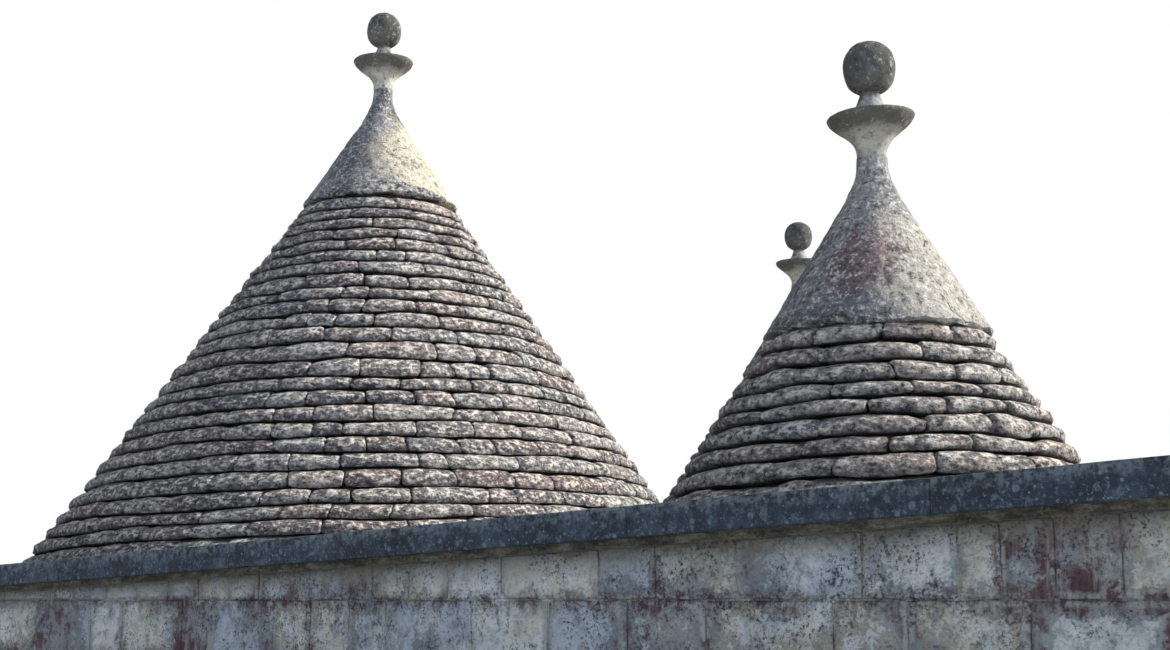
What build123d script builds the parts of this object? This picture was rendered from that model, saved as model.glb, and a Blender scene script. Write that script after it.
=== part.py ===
from build123d import *
import math
import os

# Trullo house: three dry-stone cones over a low block of thick masonry walls.
# Millimetres. +Z is up, X runs to the right along the street front and Y runs into the building.
# The origin is on the ground, at the middle of the plan.

# Plan of the outer wall faces: a main block at the left and a shallow wing at the right
FRONT_LENGTH = 8700
HOUSE_DEPTH = 7800
MAIN_WIDTH = 4900
WING_DEPTH = 2400

# Coping slab on the wall tops. It falls to the left so that the rain water of the terrace runs off.
COPING_TOP_AT_RIGHT = 2247
COPING_FALL = 0.0329
COPING_THICKNESS = 110
COPING_OVERHANG = 50
COPING_SEAT = 200
BED_THICKNESS = 30
TERRACE_BELOW_COPING = 50

# Rain gutters on the terrace, between the eaves of the cones and the coping or the next cone.
# The cones fill what the gutters leave of the plan.
A_LEFT_GUTTER = 123
A_YARD_GUTTER = 183
A_FRONT_GUTTER = 33
BETWEEN_GUTTER = 130
C_BACK_GUTTER = 177
C_YARD_GUTTER = 147
B_FRONT_GUTTER = 69
B_BACK_GUTTER = 129

# Cone a, the large one over the main room
A_EDGE_HEIGHT = 4335
A_EDGE_RADIUS = 488
A_FLARE_RISE = 225
A_DISH_RISE = 199
A_DISH_RADIUS = 194
A_BALL_RADIUS = 111

# Cone b, the small one over the wing
B_FROM_RIGHT = 1870
B_EDGE_HEIGHT = 2893

# Cone c, the middle one over the rear room
C_EDGE_HEIGHT = 3565

# Caps and finials of cones b and c, which are alike
SMALL_EDGE_RADIUS = 445
SMALL_FLARE_RISE = 161
SMALL_DISH_RISE = 181
SMALL_DISH_RADIUS = 180
SMALL_BALL_RADIUS = 107

# Profile that all caps and finials share
NECK_RADIUS = 60
FLARE_RADIUS = 116
CAP_BANDS = 3
CAP_LIP = 12
DISH_WAIST = 2.9
DISH_BOWL = 2.7
DISH_BANDS = 6
STEM_FOOT_RADIUS = 78
STEM_TOP_RADIUS = 42
STEM_RISE = 90
BALL_STRETCH = 1.06
BALL_SQUARENESS = 0.85
BALL_BANDS = 7
BALL_FLAT_RADIUS = 8
FINIAL_SIDES = 32
CAP_SIDES = 48

# Build-up of a cone, measured level from its outside inwards
SLAB_DEPTH = 180
CORE_DEPTH = 200
LINING_DEPTH = 200
COURSE_HEIGHT = 84
COURSE_LEDGE = 12
SLAB_LENGTH = 360
FEWEST_SLABS = 10
COURSE_VARIATION = (0.93, 1.08, 1.0, 0.9, 1.12, 0.97)
CORBEL_HEIGHT = 110
CORE_SIDES = 16
CLOSING_RADIUS = 60
CROWN_BELOW_EDGE = 300

# Rooms and openings
CEILING_THICKNESS = 200
WING_ROOM_DEPTH = 1200
WING_END_WALL = 600
DOOR_WIDTH = 850
MIDDLE_ARCH_WIDTH = 900
WING_ARCH_WIDTH = 800
VAULT_RISE = 450

# Masonry over each opening, from its head to the wall top at its low end
LINTEL_COVER = 300
MIDDLE_ARCH_COVER = 300
WING_ARCH_COVER = 350
VAULT_COVER = 250

# Outer faces, from the plan
left_x = -FRONT_LENGTH / 2
right_x = FRONT_LENGTH / 2
front_y = -HOUSE_DEPTH / 2
back_y = HOUSE_DEPTH / 2
yard_x = left_x + MAIN_WIDTH
wing_back_y = front_y + WING_DEPTH

# Eaves of the cones, which fill the plan between the gutters
terrace_depth = HOUSE_DEPTH - 2 * COPING_SEAT
a_radius = (MAIN_WIDTH - 2 * COPING_SEAT - A_LEFT_GUTTER - A_YARD_GUTTER) / 2
c_radius = (terrace_depth - A_FRONT_GUTTER - 2 * a_radius - BETWEEN_GUTTER - C_BACK_GUTTER) / 2
b_radius = (WING_DEPTH - 2 * COPING_SEAT - B_FRONT_GUTTER - B_BACK_GUTTER) / 2
a_x = left_x + COPING_SEAT + A_LEFT_GUTTER + a_radius
a_y = front_y + COPING_SEAT + A_FRONT_GUTTER + a_radius
b_x = right_x - B_FROM_RIGHT
b_y = front_y + COPING_SEAT + B_FRONT_GUTTER + b_radius
c_x = yard_x - COPING_SEAT - C_YARD_GUTTER - c_radius
c_y = back_y - COPING_SEAT - C_BACK_GUTTER - c_radius

# Depths below the coping's top of the wall tops and of the terrace surface
WALL_TOP_DROP = COPING_THICKNESS + BED_THICKNESS
flat_factor = math.cos(math.pi / CORE_SIDES)


def coping_top(x):
    """Height of the coping's sloping top above the ground."""
    return COPING_TOP_AT_RIGHT - (right_x - x) * COPING_FALL


def slab_between(x0, x1, y0, y1, low, high):
    """A block over a rectangle of the plan. low and high give the height of its faces at a place x."""
    outline = [(x0, low(x0)), (x1, low(x1)), (x1, high(x1)), (x0, high(x0))]
    profile = make_face(Plane.XZ * Polyline(*outline, close=True))
    return Pos(0, y0, 0) * extrude(profile, amount=y1 - y0, dir=(0, 1, 0))


def level(z):
    """A level height, the same at every x."""
    return lambda x: z


def below_coping(drop):
    """A height that follows the coping's slope, drop below its top."""
    return lambda x: coping_top(x) - drop


wall_top = below_coping(WALL_TOP_DROP)
terrace_top = below_coping(TERRACE_BELOW_COPING)
ground = level(0)


def sloping_plane(drop):
    """The plane that lies drop below the coping's top, facing up."""
    return Plane(origin=(0, 0, coping_top(0) - drop), x_dir=(1, 0, COPING_FALL), z_dir=(-COPING_FALL, 0, 1))


def ring_corners(radius, sides, turn=0.5):
    """Corners of a regular polygon. turn is a share of one side, so 0.5 puts flats on the axes."""
    step = 2 * math.pi / sides
    return [(radius * math.cos((i + turn) * step), radius * math.sin((i + turn) * step)) for i in range(sides)]


def hewn(profile, sides, turn=0.5):
    """A closed block with flat facets round the Z axis. profile lists (radius, height) from its foot up."""
    rings = [[(x, y, z) for x, y in ring_corners(radius, sides, turn)] for radius, z in profile]
    faces = [Face(Wire.make_polygon(rings[0])), Face(Wire.make_polygon(rings[-1]))]
    for low, high in zip(rings, rings[1:]):
        for i in range(sides):
            j = (i + 1) % sides
            faces.append(Face(Wire.make_polygon([low[i], low[j], high[j], high[i]])))
    return Solid(Shell(faces))


def frustum(sides, low_radius, low_z, high_radius, high_z, turn=0.5):
    """A block between two polygons, as a ring of straight stones is laid."""
    return hewn([(low_radius, low_z), (high_radius, high_z)], sides, turn)


class Cone:
    """The sizes of one cone and the solids that make it, about its own axis."""

    def __init__(self, x, y, eaves_radius, edge_height, edge_radius):
        self.x, self.y = x, y
        self.edge_height, self.edge_radius = edge_height, edge_radius
        self.eaves_height = terrace_top(x)
        self.seat_height = wall_top(x)
        self.lean = (eaves_radius - edge_radius) / (edge_height - self.eaves_height)
        self.low_height = self.seat_height - COPING_FALL * eaves_radius
        self.crown_height = edge_height - CROWN_BELOW_EDGE
        self.room_radius = self.radius(self.seat_height) - SLAB_DEPTH - CORE_DEPTH - LINING_DEPTH
        self.room_half = self.room_radius * flat_factor

    def radius(self, z):
        """Radius of the cone's outside at height z."""
        return self.edge_radius + (self.edge_height - z) * self.lean

    def lining_radius(self, z):
        """Radius of the face between the core and the corbelled lining at height z."""
        low, high = self.room_radius + LINING_DEPTH, CLOSING_RADIUS + LINING_DEPTH
        share = (z - self.seat_height) / (self.crown_height - self.seat_height)
        return low + (high - low) * share

    def outer_core(self):
        """The core's outside, filled."""
        low, high = self.low_height, self.edge_height
        return frustum(CORE_SIDES, self.radius(low) - SLAB_DEPTH, low, self.radius(high) - SLAB_DEPTH, high)

    def dome_space(self):
        """The space inside the core, which holds the lining and the hollow of the dome."""
        low, high = self.low_height, self.crown_height
        return frustum(CORE_SIDES, self.lining_radius(low), low, self.lining_radius(high), high)

    def core(self):
        hollow = self.outer_core() - self.dome_space()
        return split(hollow, bisect_by=self.own_plane(WALL_TOP_DROP), keep=Keep.TOP)

    def lining(self):
        """Corbelled dome: each ring of stones leans in over the one below and the last is closed by a slab."""
        count = round((self.crown_height - self.seat_height) / CORBEL_HEIGHT)
        step = (self.crown_height - self.seat_height) / count
        rings = []
        for i in range(count - 1):
            low = self.seat_height + i * step
            reach = self.lining_radius(low) - LINING_DEPTH
            start = self.low_height - 1 if i == 0 else low
            rings.append(frustum(CORE_SIDES, reach, start, reach, low + step))
        hollow = self.dome_space() - (Part() + rings)
        return split(hollow, bisect_by=self.own_plane(WALL_TOP_DROP), keep=Keep.TOP)

    def own_plane(self, drop):
        """A plane of the coping's slope, placed for work about the cone's own axis."""
        plane = sloping_plane(drop)
        return Plane(plane.origin - Vector(self.x, self.y, 0), x_dir=plane.x_dir, z_dir=plane.z_dir)

    def mantle(self):
        """Courses of straight stone slabs. Each course steps back a little from the one below."""
        count = round((self.edge_height - self.low_height) / COURSE_HEIGHT)
        shares = [COURSE_VARIATION[i % len(COURSE_VARIATION)] for i in range(count)]
        unit = (self.edge_height - self.low_height) / sum(shares)
        courses = []
        low = self.low_height
        for i, share in enumerate(shares):
            high = low + share * unit
            sides = max(FEWEST_SLABS, round(2 * math.pi * self.radius(low) / SLAB_LENGTH))
            top_radius = self.radius(high) + COURSE_LEDGE
            courses.append(frustum(sides, self.radius(low), low, top_radius, high, turn=0.5 * (i % 2)))
            low = high
        stack = (Part() + courses) - self.outer_core()
        return split(stack, bisect_by=self.own_plane(TERRACE_BELOW_COPING), keep=Keep.TOP)


def flare_height(cone):
    """Height at which a cap leaves the straight slope of its cone and curves up into the neck."""
    return cone.edge_height + (cone.edge_radius + CAP_LIP - FLARE_RADIUS) / cone.lean


def cap(cone, flare_rise):
    """Plastered cap: a straight cone that curves up into a thin neck."""
    flare_z, swell = flare_height(cone), FLARE_RADIUS - NECK_RADIUS
    power = cone.lean * flare_rise / swell
    profile = [(cone.edge_radius + CAP_LIP, cone.edge_height)]
    for i in range(CAP_BANDS + 1):
        share = i / CAP_BANDS
        profile.append((NECK_RADIUS + swell * (1 - share) ** power, flare_z + share * flare_rise))
    return hewn(profile, CAP_SIDES)


def dish(neck_z, rise, radius):
    """Saucer above the neck: a waist that opens into a bowl with an upright rim."""
    profile = []
    for i in range(DISH_BANDS + 1):
        share = i / DISH_BANDS
        opened = 1 - (1 - share ** DISH_WAIST) ** DISH_BOWL
        profile.append((NECK_RADIUS + (radius - NECK_RADIUS) * opened, neck_z + share * rise))
    return hewn(profile, FINIAL_SIDES)


def ball(rim_z, radius):
    """Stone ball, a little square and taller than wide, on a short tapering stem."""
    half_height = radius * BALL_STRETCH
    centre_z = rim_z + STEM_RISE + half_height
    start = -math.acos((STEM_TOP_RADIUS / radius) ** (1 / BALL_SQUARENESS))
    profile = [(STEM_FOOT_RADIUS, rim_z)]
    for i in range(BALL_BANDS):
        angle = start + (math.pi / 2 - start) * i / BALL_BANDS
        height = math.copysign(abs(math.sin(angle)) ** BALL_SQUARENESS, angle) * half_height
        profile.append((radius * math.cos(angle) ** BALL_SQUARENESS, centre_z + height))
    profile.append((BALL_FLAT_RADIUS, centre_z + half_height))
    return hewn(profile, FINIAL_SIDES)


cone_a = Cone(a_x, a_y, a_radius, A_EDGE_HEIGHT, A_EDGE_RADIUS)
cone_b = Cone(b_x, b_y, b_radius, B_EDGE_HEIGHT, SMALL_EDGE_RADIUS)
cone_c = Cone(c_x, c_y, c_radius, C_EDGE_HEIGHT, SMALL_EDGE_RADIUS)
nodes = {}

# Inner faces of the rooms, which follow the domes over them
room_a_left, room_a_right = a_x - cone_a.room_half, a_x + cone_a.room_half
room_a_front, room_a_back = a_y - cone_a.room_half, a_y + cone_a.room_half
room_c_left, room_c_right = c_x - cone_c.room_half, c_x + cone_c.room_half
room_c_front, room_c_back = c_y - cone_c.room_half, c_y + cone_c.room_half
wing_room_front, wing_room_back = b_y - WING_ROOM_DEPTH / 2, b_y + WING_ROOM_DEPTH / 2
wing_room_right = right_x - WING_END_WALL

middle_arch_left = (a_x + c_x - MIDDLE_ARCH_WIDTH) / 2
middle_arch_right = middle_arch_left + MIDDLE_ARCH_WIDTH
wing_arch_back = room_a_front + WING_ARCH_WIDTH
door_front = room_a_back - DOOR_WIDTH

# Heights of the ceilings and of the heads of the openings, from the wall top over them
room_a_height = wall_top(room_a_left) - CEILING_THICKNESS
room_c_height = wall_top(room_c_left) - CEILING_THICKNESS
wing_height = wall_top(yard_x) - CEILING_THICKNESS
door_height = wall_top(room_a_right) - LINTEL_COVER
middle_arch_spring = wall_top(middle_arch_left) - MIDDLE_ARCH_COVER - MIDDLE_ARCH_WIDTH / 2
wing_arch_spring = wall_top(room_a_right) - WING_ARCH_COVER - WING_ARCH_WIDTH / 2
vault_crown = wall_top(room_a_left) - VAULT_COVER
vault_spring = vault_crown - VAULT_RISE


def wall(x0, x1, y0, y1, low=ground):
    """Masonry from low up to the sloping wall top."""
    return slab_between(x0, x1, y0, y1, low, wall_top)


# Walls
nodes["front_wall"] = wall(left_x, yard_x, front_y, room_a_front)
nodes["wing_front_wall"] = wall(yard_x, right_x, front_y, wing_room_front)
nodes["left_wall"] = wall(left_x, room_a_left, room_a_front, room_c_back)
nodes["back_wall"] = wall(left_x, yard_x, room_c_back, back_y)
nodes["rear_yard_wall"] = wall(room_c_right, yard_x, room_c_front, room_c_back)
nodes["middle_wall_left"] = wall(room_a_left, middle_arch_left, room_a_back, room_c_front)
nodes["middle_wall_right"] = wall(middle_arch_right, yard_x, room_a_back, room_c_front)
nodes["centre_pier"] = wall(room_a_right, yard_x, wing_arch_back, door_front)
nodes["wing_right_wall"] = wall(wing_room_right, right_x, wing_room_front, wing_room_back)
nodes["wing_back_wall"] = wall(yard_x, right_x, wing_room_back, wing_back_y)

# Stone over the openings: two arches and the lintel of the doorway
middle_block = wall(middle_arch_left, middle_arch_right, room_a_back, room_c_front, level(middle_arch_spring))
middle_void = Cylinder(MIDDLE_ARCH_WIDTH / 2, room_c_front - room_a_back, rotation=(90, 0, 0))
middle_x, middle_y = (middle_arch_left + middle_arch_right) / 2, (room_a_back + room_c_front) / 2
nodes["middle_arch"] = middle_block - Pos(middle_x, middle_y, middle_arch_spring) * middle_void
wing_block = wall(room_a_right, yard_x, room_a_front, wing_arch_back, level(wing_arch_spring))
wing_void = Cylinder(WING_ARCH_WIDTH / 2, yard_x - room_a_right, rotation=(0, 90, 0))
wing_x, wing_y = (room_a_right + yard_x) / 2, (room_a_front + wing_arch_back) / 2
nodes["wing_arch"] = wing_block - Pos(wing_x, wing_y, wing_arch_spring) * wing_void
nodes["door_lintel"] = wall(room_a_right, yard_x, door_front, room_a_back, level(door_height))


def ceiling(plan, height, cone):
    """Stone slabs that close a room round the dome's opening."""
    opening = frustum(CORE_SIDES, cone.room_radius, 0, cone.room_radius, cone.edge_height)
    return wall(*plan, level(height)) - Pos(cone.x, cone.y, 0) * opening


# Ceilings, and the vault of the alcove beside the rear room
room_a_plan = (room_a_left, room_a_right, room_a_front, room_a_back)
room_c_plan = (room_c_left, room_c_right, room_c_front, room_c_back)
wing_room_plan = (yard_x, wing_room_right, wing_room_front, wing_room_back)
nodes["room_a_corner_slabs"] = ceiling(room_a_plan, room_a_height, cone_a)
nodes["room_c_corner_slabs"] = ceiling(room_c_plan, room_c_height, cone_c)
nodes["wing_ceiling"] = ceiling(wing_room_plan, wing_height, cone_b)
vault_half = (room_c_back - room_c_front) / 2
vault_radius = (vault_half ** 2 + VAULT_RISE ** 2) / (2 * VAULT_RISE)
vault_void = Cylinder(vault_radius, room_c_left - room_a_left, rotation=(0, 90, 0))
vault_x, vault_axis_z = (room_a_left + room_c_left) / 2, vault_crown - vault_radius
vault_block = wall(room_a_left, room_c_left, room_c_front, room_c_back, level(vault_spring))
nodes["alcove_vault"] = vault_block - Pos(vault_x, c_y, vault_axis_z) * vault_void

# Coping slabs, butted at the corners, and the mortar bed that they lie on
out, seat = COPING_OVERHANG, COPING_SEAT
coping_plan = {
    "coping_front": (left_x - out, right_x + out, front_y - out, front_y + seat),
    "coping_right": (right_x - seat, right_x + out, front_y + seat, wing_back_y + out),
    "coping_wing_back": (yard_x - seat, right_x - seat, wing_back_y - seat, wing_back_y + out),
    "coping_yard": (yard_x - seat, yard_x + out, wing_back_y + out, back_y - seat),
    "coping_back": (left_x - out, yard_x + out, back_y - seat, back_y + out),
    "coping_left": (left_x - out, left_x + seat, front_y + seat, back_y - seat),
}
for name, plan in coping_plan.items():
    nodes[name] = slab_between(*plan, below_coping(COPING_THICKNESS), below_coping(0))


def bed(x0, x1, y0, y1):
    """A strip of mortar between the wall top and the coping."""
    return slab_between(x0, x1, y0, y1, wall_top, below_coping(COPING_THICKNESS))


nodes["coping_bed"] = Part() + [
    bed(left_x, right_x, front_y, front_y + seat),
    bed(right_x - seat, right_x, front_y + seat, wing_back_y),
    bed(yard_x - seat, right_x - seat, wing_back_y - seat, wing_back_y),
    bed(yard_x - seat, yard_x, wing_back_y, back_y - seat),
    bed(left_x, yard_x, back_y - seat, back_y),
    bed(left_x, left_x + seat, front_y + seat, back_y - seat),
]

# Roof terrace between the coping and the cones
terrace_split = a_y + a_radius + BETWEEN_GUTTER / 2
terrace_plan = {
    "terrace_main": (left_x + seat, yard_x - seat, front_y + seat, terrace_split, cone_a),
    "terrace_rear": (left_x + seat, yard_x - seat, terrace_split, back_y - seat, cone_c),
    "terrace_wing": (yard_x - seat, right_x - seat, front_y + seat, wing_back_y - seat, cone_b),
}
for name, (x0, x1, y0, y1, cone) in terrace_plan.items():
    slab = slab_between(x0, x1, y0, y1, wall_top, terrace_top)
    nodes[name] = slab - Pos(cone.x, cone.y, 0) * cone.outer_core()

# Cones, each with its cap and finial
finials = {
    "a": (cone_a, A_FLARE_RISE, A_DISH_RISE, A_DISH_RADIUS, A_BALL_RADIUS),
    "b": (cone_b, SMALL_FLARE_RISE, SMALL_DISH_RISE, SMALL_DISH_RADIUS, SMALL_BALL_RADIUS),
    "c": (cone_c, SMALL_FLARE_RISE, SMALL_DISH_RISE, SMALL_DISH_RADIUS, SMALL_BALL_RADIUS),
}
for letter, (cone, flare_rise, dish_rise, dish_radius, ball_radius) in finials.items():
    place = Pos(cone.x, cone.y, 0)
    neck_z = flare_height(cone) + flare_rise
    nodes[f"cone_{letter}_core"] = place * cone.core()
    nodes[f"cone_{letter}_dome"] = place * cone.lining()
    nodes[f"cone_{letter}_mantle"] = place * cone.mantle()
    nodes[f"cone_{letter}_cap"] = place * cap(cone, flare_rise)
    nodes[f"cone_{letter}_dish"] = place * dish(neck_z, dish_rise, dish_radius)
    nodes[f"cone_{letter}_ball"] = place * ball(neck_z + dish_rise, ball_radius)

os.makedirs("parts", exist_ok=True)
for name, shape in nodes.items():
    export_step(shape, f"parts/{name}.step")
    print(name, round(shape.volume / 1e9, 4), "m3")
print("nodes", len(nodes), "volume", round(sum(s.volume for s in nodes.values()) / 1e9, 3), "m3")
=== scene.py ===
import math
import random

import bpy
import bmesh
import numpy as np
from bpy.props import FloatProperty, FloatVectorProperty, PointerProperty
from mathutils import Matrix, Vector, noise


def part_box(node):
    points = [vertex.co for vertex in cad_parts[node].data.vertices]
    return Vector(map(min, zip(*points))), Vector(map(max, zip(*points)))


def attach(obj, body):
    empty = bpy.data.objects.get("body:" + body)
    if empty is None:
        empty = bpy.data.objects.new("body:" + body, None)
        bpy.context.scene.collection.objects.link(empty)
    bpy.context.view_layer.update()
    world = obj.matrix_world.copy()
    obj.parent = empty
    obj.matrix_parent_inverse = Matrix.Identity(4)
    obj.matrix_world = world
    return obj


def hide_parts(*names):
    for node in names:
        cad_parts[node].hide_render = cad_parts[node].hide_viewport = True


bl_info = {
    "name": "Trullo house",
    "version": (1, 0, 0),
    "blender": (4, 5, 0),
    "location": "3D View > Sidebar > Trullo",
    "description": "Dry-stone cones, plastered caps, limewashed block walls and coping of a trullo house",
    "category": "Object",
}

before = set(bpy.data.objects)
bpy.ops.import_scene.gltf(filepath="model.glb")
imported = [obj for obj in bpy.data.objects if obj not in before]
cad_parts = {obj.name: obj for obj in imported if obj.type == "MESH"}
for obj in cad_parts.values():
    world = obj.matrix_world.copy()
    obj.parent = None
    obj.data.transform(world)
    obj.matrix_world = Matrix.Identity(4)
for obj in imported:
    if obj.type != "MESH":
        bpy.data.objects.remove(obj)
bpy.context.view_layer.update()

# All lengths are metres. Cone a is the large one, b the small near one and c the one behind.
# lean is how much the radius grows for each metre down, low the height at which the lowest course starts.
# The plaster has its own lean and the height of its apex. drawn_in is how far the slabs stand in behind the
# straight slope at the top, and the power by which that fades downwards. tilt is how much the saucer rises
# to the right for each metre, tone how pale the slabs are, and beds the photograph's bed joints downwards.
CONES = {
    "a": {"lean": 0.68627, "low": 1.8314, "cap_lean": 0.66, "apex": 5.07, "drawn_in": (0.030, 1), "tilt": 0,
          "tone": 0.5, "beds": (
              4.305, 4.215, 4.143, 4.068, 3.990, 3.906, 3.825, 3.742, 3.643, 3.562, 3.473, 3.378, 3.279,
              3.169, 3.058, 2.973, 2.878, 2.785, 2.690, 2.597, 2.500, 2.394, 2.303, 2.220)},
    "b": {"lean": 0.60196, "low": 2.0158, "cap_lean": 0.635, "apex": 3.60, "drawn_in": (0.026, 3),
          "tilt": 0.05, "tone": 0.9, "beds": (2.893, 2.807, 2.723, 2.639, 2.572, 2.506, 2.425, 2.349)},
    "c": {"lean": 0.63677, "low": 1.8763, "cap_lean": 0.63, "apex": 4.27, "drawn_in": (0.024, 1), "tilt": 0,
          "tone": 0.5, "beds": (3.565,)},
}
CAD_CAP_SIDES, CAD_CAP_LIP, NECK_RADIUS = 48, 0.012, 0.060
DISH_WAIST, DISH_BOWL = 2.9, 2.7  # powers of the dish's outline: the first draws in its foot
STEM_TOP_RADIUS, BALL_STRETCH = 0.042, 1.06
BALL_SQUARE_BELOW, BALL_SQUARE_ABOVE = 0.85, 0.93  # powers of the ball's outline, 1 being round
RUST_SHARES = (0, 0, 0.1, 0.2, 0.3, 0.45, 0.65, 0.9)

# The coping falls to the left, and the wall tops and the terrace fall with it.
RIGHT_END, COPING_TOP, COPING_FALL = 4.35, 2.247, 0.0329
WALL_TOP_BELOW, TERRACE_BELOW = 0.14, 0.05

# Upright joints of the two highest courses of the front, where the photograph shows them, along x, and the
# doorway in the yard wall: its two sides along y, its head, and how far the lintel rests on each side.
SEEN_JOINTS = ((2.035, 2.299, 2.645, 3.137, 3.473, 3.615, 3.788, 3.989), (3.027, 3.705))
DOOR_SIDES, DOOR_HEAD, LINTEL_REST = (-0.872, -0.022), 1.651, 0.23
BLOCK_HEIGHT, COPING_THICKNESS = 0.27, 0.11
BLOCK_GAP, COPING_GAP = 0.003, 0.0015

for name, cone in CONES.items():
    low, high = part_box(f"cone_{name}_cap")
    cone["x"], cone["y"] = (low.x + high.x) / 2, (low.y + high.y) / 2
    cone["edge"] = low.z
    cone["edge_radius"] = (high.x - low.x) / 2 / math.cos(math.pi / CAD_CAP_SIDES) - CAD_CAP_LIP
    cone["neck"] = high.z
    low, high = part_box(f"cone_{name}_dish")
    cone["rim"], cone["rim_radius"] = high.z, (high.x - low.x) / 2
    low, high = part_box(f"cone_{name}_ball")
    cone["top"], cone["ball_radius"] = high.z, (high.x - low.x) / 2


def metres(name, description, default, least=0.0):
    """A setting that is a length."""
    return FloatProperty(name=name, description=description, default=default, min=least, unit="LENGTH")


class RoofSettings(bpy.types.PropertyGroup):
    """Sizes of the slabs on the cones"""

    slab_length: metres("Slab length", "Usual length of a slab along its course", 0.30, 0.1)
    course_height: metres("Course height", "Usual height of a course", 0.084, 0.03)
    open_joint: metres("Open joint", "Gap between slabs that are laid dry", 0.006)
    bed_wave: metres("Bed wave", "How far a bed joint wanders up and down", 0.006)
    joint_lean: metres(
        "Joint lean", "How far an upright joint usually leans over the height of its course", 0.012)
    swell: metres("Swell", "How far the middle of a slab's face stands out over the slope", 0.020)


class WallSettings(bpy.types.PropertyGroup):
    """Sizes of the squared blocks and the coping slabs"""

    block_length: metres("Block length", "Usual length of a block", 0.38, 0.1)
    block_height: metres("Block height", "Height of a course of blocks", BLOCK_HEIGHT, 0.1)
    highest_bed: metres("Highest bed", "Height of the highest bed joint", 1.85)
    relief: metres("Block relief", "How far a block stands out of its joints", 0.008)
    coping_length: metres("Coping slab length", "Usual length of a coping slab", 1.05, 0.2)


class StageSettings(bpy.types.PropertyGroup):
    """The camera and the lights"""

    eye: FloatVectorProperty(
        name="Camera", description="The camera's place", default=(6.0, -8.341, 1.85), subtype="TRANSLATION")
    heading: FloatProperty(
        name="Heading", description="Turn of the view to the left of the depth of the house",
        default=math.radians(42.26), subtype="ANGLE")
    pitch: FloatProperty(
        name="Pitch", description="Upward tilt of the view", default=math.radians(9.46), subtype="ANGLE")
    key_strength: FloatProperty(
        name="Key light", description="Strength of the soft light from the upper right", default=10.0, min=0)
    fill_strength: FloatProperty(
        name="Fill light", description="Strength of the even light from all round", default=0.20, min=0)
    front_strength: FloatProperty(
        name="Front light", description="Strength of the very soft light on the front", default=2.5, min=0)


def linear(code):
    """The linear colour of an sRGB hex value."""
    parts = [int(code[i:i + 2], 16) / 255 for i in (1, 3, 5)]
    return (*[c / 12.92 if c <= 0.04045 else ((c + 0.055) / 1.055) ** 2.4 for c in parts], 1.0)


def add(near, kind, values=None, links=None):
    """Adds a shader node to a tree or to that of a socket. Values are its inputs or settings by name or
    number, and links are what feeds it."""
    made = near.id_data.nodes.new(kind)
    for key, value in (values or {}).items():
        if key == "stops":
            while len(made.color_ramp.elements) < len(value):
                made.color_ramp.elements.new(1)
            for element, (place, shade) in zip(made.color_ramp.elements, value):
                element.position = place
                element.color = linear(shade) if isinstance(shade, str) else (shade, shade, shade, 1)
        elif isinstance(key, int) or key in made.inputs:
            made.inputs[key].default_value = linear(value) if isinstance(value, str) else value
        else:
            setattr(made, key, value)
    for key, source in (links or {}).items():
        near.id_data.links.new(source, made.inputs[key])
    return made


def start_material(name):
    """An empty material, and the object coordinates that its patterns read."""
    made = bpy.data.materials.new(name)
    made.use_nodes = True
    made.node_tree.nodes.clear()
    return made, add(made.node_tree, "ShaderNodeTexCoord").outputs["Object"]


def pattern(where, size, detail=5.0, roughness=0.6, stretch=None):
    """Noise whose blotches are about size metres wide, from 0 to 1."""
    if stretch:
        where = add(where, "ShaderNodeMapping", {"Scale": stretch}, {"Vector": where}).outputs[0]
    return add(where, "ShaderNodeTexNoise", {"Scale": 0.5 / size, "Detail": detail, "Roughness": roughness},
               {"Vector": where}).outputs["Fac"]


def curve(source, *stops):
    """A ramp over a value."""
    return add(source, "ShaderNodeValToRGB", {"stops": stops}, {0: source}).outputs["Color"]


def mixed(kind, values, inputs):
    """A node with inputs by number that are each a socket, a number or a hex value. One must be a socket."""
    links = {i: value for i, value in inputs.items() if isinstance(value, bpy.types.NodeSocket)}
    others = {i: value for i, value in inputs.items() if i not in links}
    return add(next(iter(links.values())), kind, {**values, **others}, links)


def sums(first, second, kind="ADD"):
    """Arithmetic on two values, of which one may be a number."""
    return mixed("ShaderNodeMath", {"operation": kind}, {0: first, 1: second}).outputs[0]


def times(first, second):
    """The product of two values."""
    return sums(first, second, "MULTIPLY")


def weighed(*parts):
    """The sum of values that each have a weight, written one after the other."""
    total = times(*parts[:2])
    for value, weight in zip(parts[2::2], parts[3::2]):
        total = sums(total, times(value, weight))
    return total


def layers(colour, *rows):
    """Lays colours over one another. A row is a shade and its amount, a value alone or with its ramp."""
    for shade, value, *stops in rows:
        amount = curve(value, *stops) if stops else value
        colour = mixed("ShaderNodeMix", {"data_type": "RGBA"}, {6: colour, 7: shade, 0: amount}).outputs[2]
    return colour


def close_material(made, colour, roughness, *bumps):
    """Dull stone surface under the patterns. A bump is its height from 0 to 1 and its depth in metres."""
    feed = {}
    for height, depth in bumps:
        bump = add(height, "ShaderNodeBump", {"Distance": depth, "Strength": 1}, {"Height": height, **feed})
        feed = {"Normal": bump.outputs[0]}
    dull = {"IOR": 1.5, "Specular IOR Level": 0.25, "Roughness": roughness}
    shader = add(colour, "ShaderNodeBsdfPrincipled", dull, {"Base Color": colour, **feed}).outputs[0]
    add(shader, "ShaderNodeOutputMaterial", links={"Surface": shader})
    return made


def attribute(where, name):
    """A value that the laid stones carry."""
    return add(where, "ShaderNodeAttribute", {"attribute_name": name}).outputs["Fac"]


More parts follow.
